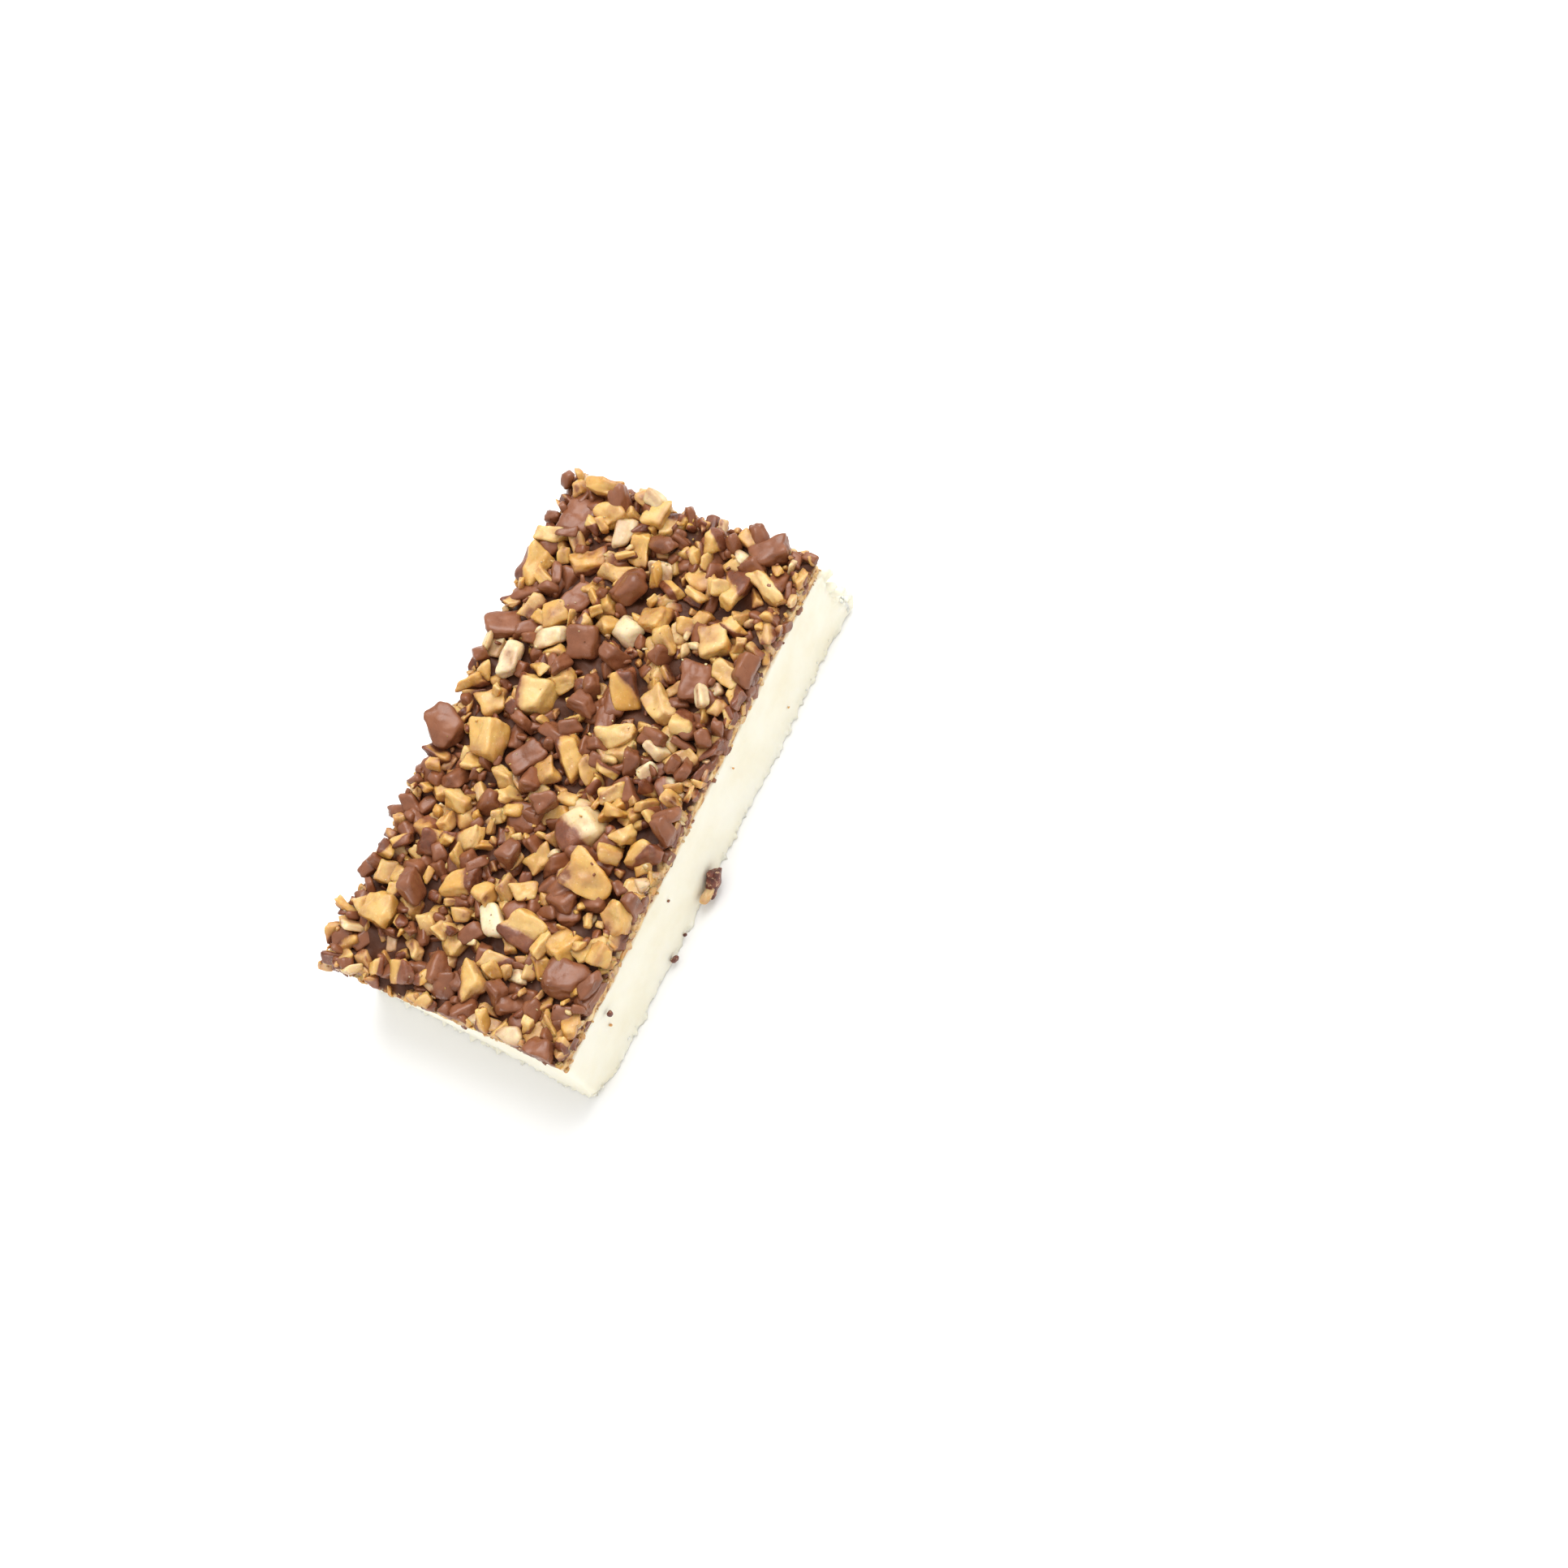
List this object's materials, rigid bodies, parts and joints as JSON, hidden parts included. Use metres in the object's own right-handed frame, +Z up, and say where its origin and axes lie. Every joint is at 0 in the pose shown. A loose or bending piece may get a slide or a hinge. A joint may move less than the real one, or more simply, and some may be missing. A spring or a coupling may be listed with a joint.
{
  "type": "english toffee",
  "caption": "Rectangular sweet bar lying flat: a cut block of cream fudge under a thin chocolate bed covered in broken toffee, chocolate and almond pieces.",
  "frame": {"origin": "centre of the cream block's flat underside, at its block outline and not at the overhanging pieces", "axes": "+X along the bar towards its far end, +Z up through the layers, -Y towards the long cut side that faces the viewer"},
  "size_m": [0.082, 0.0449, 0.0232],
  "materials": {
    "cream": "matte, fine-grained pale cream fudge with a soft waxy glow",
    "topping": "satin golden toffee and milk chocolate pieces, some half coated"
  },
  "bodies": {
    "root": {"cream_slab": "cream", "toffee_topping": "topping"}
  },
  "joints": []
}
